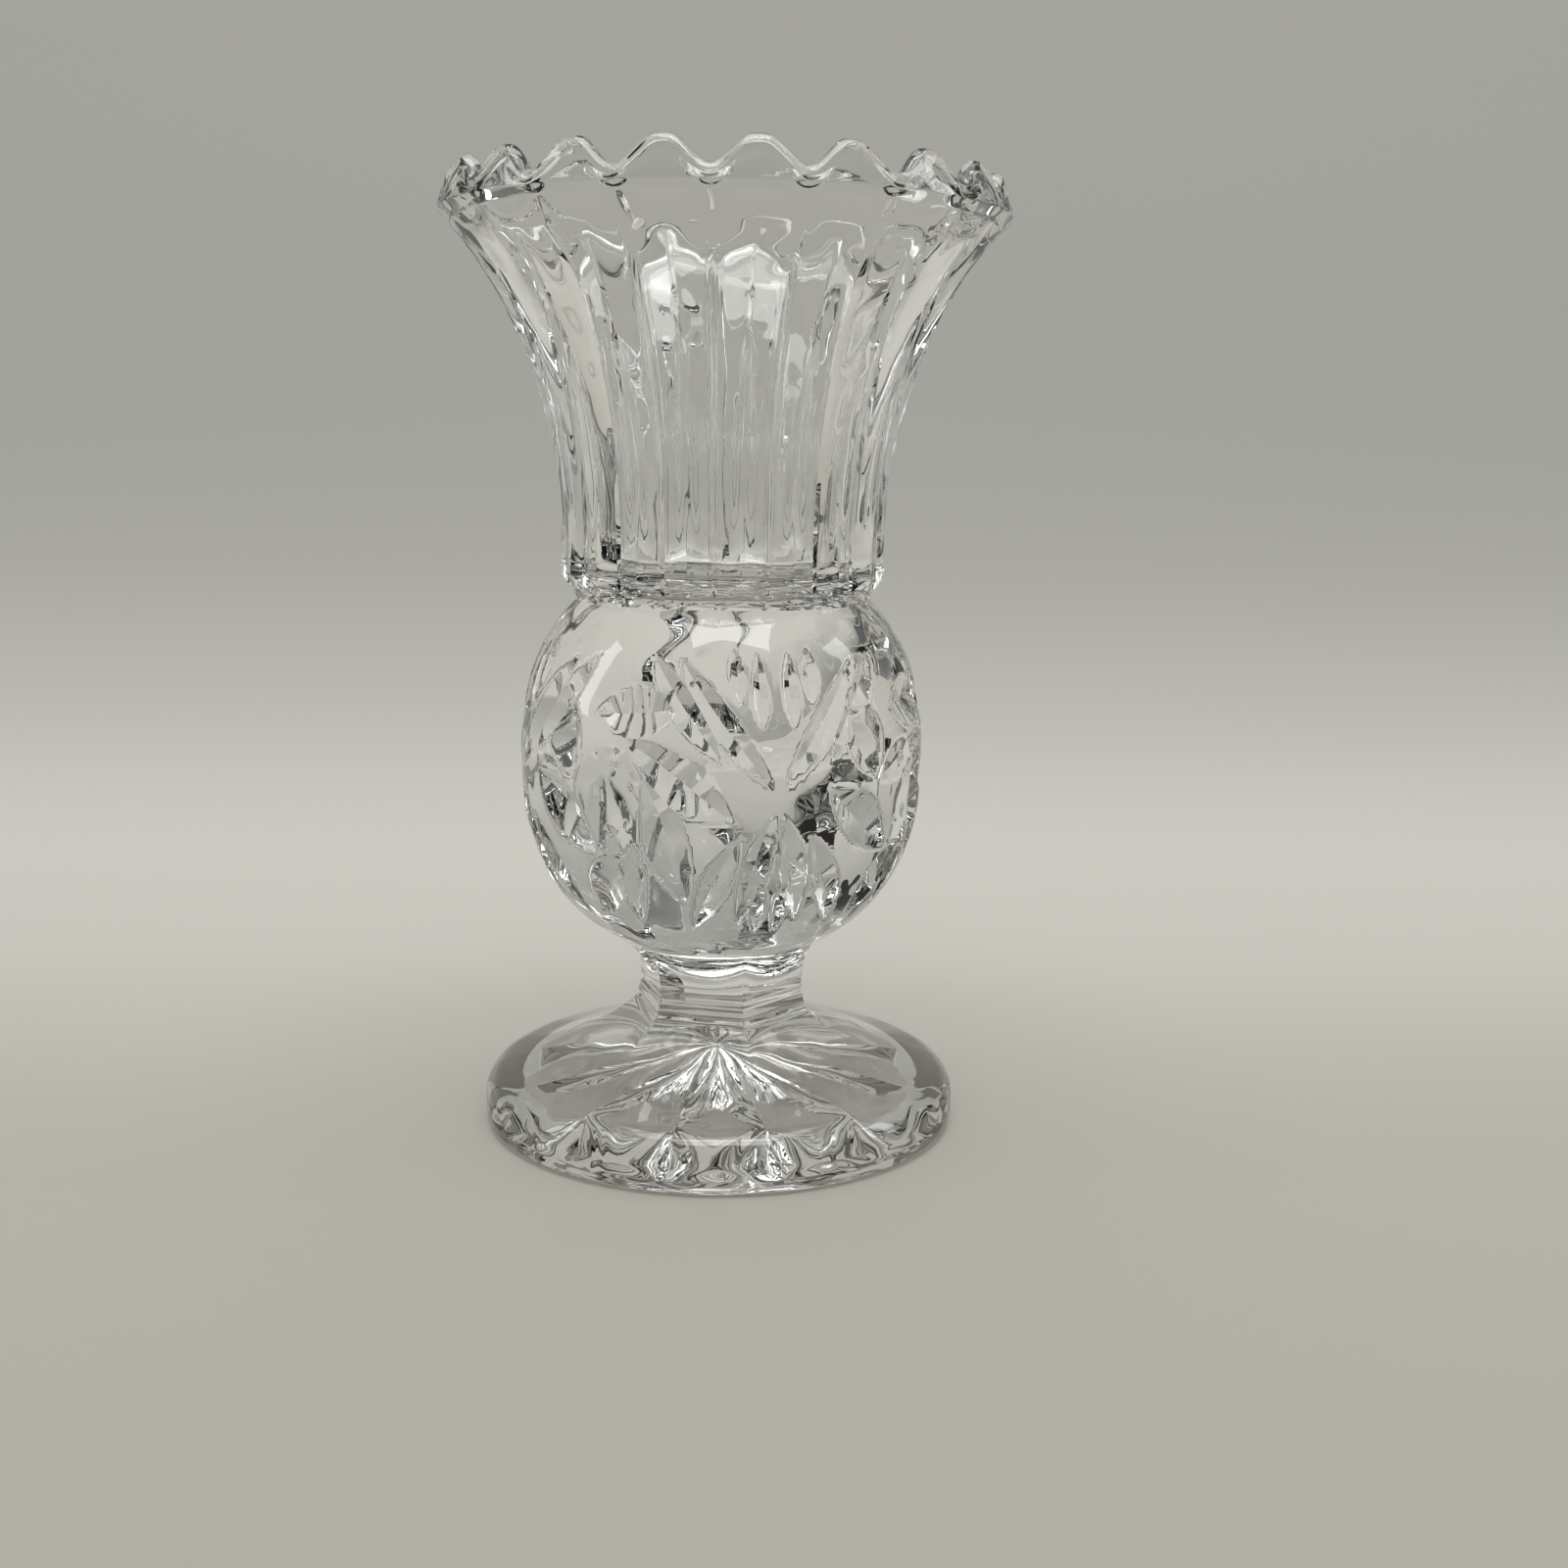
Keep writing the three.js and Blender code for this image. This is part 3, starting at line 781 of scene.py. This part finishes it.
pitch = 2 * math.pi * (RIM_RADIUS - LIP_LEAN) / RIB_COUNT
from_notch = (0.5 - from_panel_middle(angle)) * pitch
flank_start = NOTCH_BOTTOM / 2
flank_end = (pitch - TOOTH_FLAT) / 2
flank_slope = NOTCH_DEPTH / flank_end
rounded = np.where(from_notch < flank_start,
                   flank_slope * (from_notch ** 2 / (2 * flank_start) + flank_start / 2),
                   flank_slope * from_notch)
short = rounded - NOTCH_DEPTH
tooth_top = np.minimum((short - np.sqrt(short ** 2 + TOOTH_ROUND ** 2)) / 2 + TOOTH_ROUND / 5, 0)
lip_share = np.clip((height - CREASE) / (LIP_HEIGHT - LIP_ROUND), 0, 1)
places[:, 2] += tooth_top * lip_share * MM
move_out(places, radius, NOTCH_UPRIGHT * lip_share * tooth_top / tooth_top.min())
write_points(body, places)
print("notches", round(-float(tooth_top.min()), 2), "mm deep")

# %% [markdown]
# Each four-sided face is folded into two triangles. Where an edge runs across a face from corner
# to corner, the fold has to follow it, so the fold is put along the diagonal that lies nearer to
# the real surface in the middle of the face.

# %% Fold the faces along the edges


def fold_along_edges(piece, rows, angle, press, press_at):
    """Folds each four-sided face along the diagonal that lies nearer to the pressed surface."""
    mesh = bmesh.new()
    mesh.from_mesh(piece.data)
    quads = [face for face in mesh.faces if len(face.verts) == 4]
    corners = np.array([[corner.index for corner in face.verts] for face in quads])
    corner_angle = angle[corners]
    corner_angle -= 2 * math.pi * np.round((corner_angle - corner_angle[:, :1]) / (2 * math.pi))
    middle = press_at(rows[corners].mean(1), corner_angle.mean(1))
    depths = press[corners]
    first = np.abs((depths[:, 0] + depths[:, 2]) / 2 - middle)
    second = np.abs((depths[:, 1] + depths[:, 3]) / 2 - middle)
    swapped = second < first
    for method, wanted in (("FIXED", False), ("ALTERNATE", True)):
        chosen = [face for face, swap in zip(quads, swapped) if swap == wanted]
        bmesh.ops.triangulate(mesh, faces=chosen, quad_method=method)
    mesh.to_mesh(piece.data)
    mesh.free()


def press_at(rows, angle):
    """How deep the ribs and the pattern press in at each place, in mm."""
    radius, height = on_outline(rows)
    press = neck_press(radius, height, angle)[0] + bulb_press(height, angle)[0]
    return np.where(rows <= crease_row, press, 0)


fold_along_edges(body, rows, angle, ribs + cuts, press_at)
print("body:", len(body.data.polygons), "triangles")

# %% [markdown]
# The foot is pressed glass too: a dome that sweeps up to the stem, a rounded edge that stands on
# a flat ring, and twelve petals scooped in its underside. The ridges between the petals line up
# with the stem's corners.

# %% Outline of the foot
FOOT_RADIUS = foot_high.x / MM
FOOT_SIDE = 4.5
FOOT_HEEL = 2.1
FOOT_SHOULDER = 5.0
FOOT_SLOPE = math.radians(12)
FOOT_DOME_HANDLE = 12.5
RING_WIDTH = 5.4
RING_OUTER = FOOT_RADIUS - FOOT_HEEL
RING_INNER = RING_OUTER - RING_WIDTH
PETAL_MARGIN = 1.5
PETAL_END = RING_INNER - PETAL_MARGIN
PETAL_TIP = 0.5
PETAL_MIDDLE = 4.6
PETAL_STEPS = 26
SHOULDER_STEPS = 10


def foot_outline():
    outline = [(PETAL_END * step / PETAL_STEPS,
                PETAL_MIDDLE + (PETAL_TIP - PETAL_MIDDLE) * step / PETAL_STEPS)
               for step in range(PETAL_STEPS + 1)]
    outline += bezier([(PETAL_END, PETAL_TIP), (RING_INNER, 0)], steps=3)
    outline += bezier([(RING_INNER, 0), (RING_OUTER, 0)], steps=4)
    outline += bezier([(RING_OUTER, 0), (FOOT_RADIUS, 0), (FOOT_RADIUS, FOOT_HEEL)], steps=6)
    outline += [(FOOT_RADIUS, FOOT_SIDE)]
    full = math.pi / 2 - FOOT_SLOPE
    for step in range(1, SHOULDER_STEPS + 1):
        turn = full * step / SHOULDER_STEPS
        outline.append((FOOT_RADIUS - FOOT_SHOULDER * (1 - math.cos(turn)),
                        FOOT_SIDE + FOOT_SHOULDER * math.sin(turn)))
    shoulder = outline[-1]
    handle = (shoulder[0] - FOOT_DOME_HANDLE, shoulder[1] + FOOT_DOME_HANDLE * math.tan(FOOT_SLOPE))
    outline += bezier([shoulder, handle, (STEM_FOOT_RADIUS, FOOT_HEIGHT)], steps=24)
    outline += [(FUSED_MIDDLE_RADIUS, FOOT_HEIGHT), (0, FOOT_HEIGHT)]
    return outline


print("outline of the foot in", len(foot_outline()), "rows")

# %% Foot with its petals and six-sided top
FOOT_STEPS = 480
PETAL_COUNT = 12
PETAL_SCOOP = 2.2
PETAL_EXPONENT = 6
UNDERSIDE_TOP = PETAL_MIDDLE + 0.1
UNDERSIDE_END = PETAL_END + 0.01
SIX_SIDED_START = FOOT_HEIGHT - 4

foot = rolled("foot_glass", foot_outline(), FOOT_STEPS)
foot_places = read_points(foot)
foot_radius = np.hypot(foot_places[:, 0], foot_places[:, 1]) / MM
foot_angle = np.arctan2(foot_places[:, 0], -foot_places[:, 1])
foot_height = foot_places[:, 2] / MM
share = np.clip(foot_radius / PETAL_END, 0, 1)
petal = np.abs(np.sin((foot_angle - STEM_CORNER) * PETAL_COUNT / 2))
scoop = PETAL_SCOOP * np.sqrt(share) * (1 - share ** PETAL_EXPONENT) * petal
under = (foot_height < UNDERSIDE_TOP) & (foot_radius < UNDERSIDE_END)
foot_places[:, 2] += np.where(under, scoop, 0) * MM
pull_to_hexagon(foot_places, foot_angle, smoothstep(foot_height, SIX_SIDED_START, FOOT_HEIGHT))
write_points(foot, foot_places)
print("foot:", len(foot.data.polygons), "faces")

# %% [markdown]
# Clear crystal bends light a little more than window glass. Pressed glass is never quite flat, so
# a very shallow procedural swell bends what is seen through it. The two pieces were fused while
# hot, so nothing shows inside the glass where they meet: those two faces are left fully clear.

# %% Crystal
CRYSTAL_COLOUR = (0.985, 0.988, 0.98)
CRYSTAL_BENDING = 1.54
SWELL_PER_METRE = 110
SWELL_HEIGHT = 0.4 * MM
SAME_PLACE = 1e-6


def principled(name):
    material = bpy.data.materials.new(name)
    material.use_nodes = True
    return material, material.node_tree.nodes["Principled BSDF"]


def crystal_material():
    material, shader = principled("crystal")
    shader.inputs["Base Color"].default_value = (*CRYSTAL_COLOUR, 1)
    shader.inputs["Roughness"].default_value = 0.0
    shader.inputs["IOR"].default_value = CRYSTAL_BENDING
    shader.inputs["Transmission Weight"].default_value = 1.0
    nodes, links = material.node_tree.nodes, material.node_tree.links
    place = nodes.new("ShaderNodeTexCoord")
    swell = nodes.new("ShaderNodeTexNoise")
    swell.inputs["Scale"].default_value = SWELL_PER_METRE
    swell.inputs["Detail"].default_value = 1.0
    links.new(place.outputs["Object"], swell.inputs["Vector"])
    bump = nodes.new("ShaderNodeBump")
    bump.inputs["Distance"].default_value = SWELL_HEIGHT
    links.new(swell.outputs["Fac"], bump.inputs["Height"])
    links.new(bump.outputs["Normal"], shader.inputs["Normal"])
    return material


def fused_material():
    material, shader = principled("fused_face")
    shader.inputs["Alpha"].default_value = 0.0
    return material


crystal = crystal_material()
fused = fused_material()
for piece, node in ((body, "body"), (foot, "foot")):
    piece.data.materials.append(crystal)
    piece.data.materials.append(fused)
    points = piece.data.vertices
    for face in piece.data.polygons:
        if all(abs(points[i].co.z - FOOT_HEIGHT * MM) < SAME_PLACE for i in face.vertices):
            face.material_index = 1
    piece.data.attributes.remove(piece.data.attributes["row"])
    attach(piece, "root")
    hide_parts(node)
    print(piece.name, "takes the place of", node)

# %% [markdown]
# Fire polish softens the outlines of the cuts, while the bottoms of the grooves stay sharp. The
# flat facets under the neck keep crisp edges all round, so their arches show.

# %% Soft and crisp edges
SHARP_ANGLE = math.radians(50)
FACET_SHARP_ANGLE = math.radians(12)
FACET_MARGIN = 0.3


def crisp_edges(piece, chosen, sharp_angle):
    """Marks as sharp the edges between chosen points that turn by more than an angle."""
    mesh = bmesh.new()
    mesh.from_mesh(piece.data)
    crisp = 0
    for edge in mesh.edges:
        first, last = edge.verts
        if chosen[first.index] and chosen[last.index] and edge.calc_face_angle(0) > sharp_angle:
            edge.smooth = False
            crisp += 1
    mesh.to_mesh(piece.data)
    mesh.free()
    return crisp


for piece in (body, foot):
    piece.data.set_sharp_from_angle(angle=SHARP_ANGLE)
on_facets = (height > NECK_BOTTOM - FACET_MARGIN) & (height < FLARE_BOTTOM + FACET_MARGIN)
on_facets &= rows < crease_row
print("crisp edges:", crisp_edges(body, on_facets, FACET_SHARP_ANGLE))

# %% [markdown]
# Last, the colours are shown through the Standard view transform.

# %% Finish
bpy.context.scene.view_settings.view_transform = "Standard"
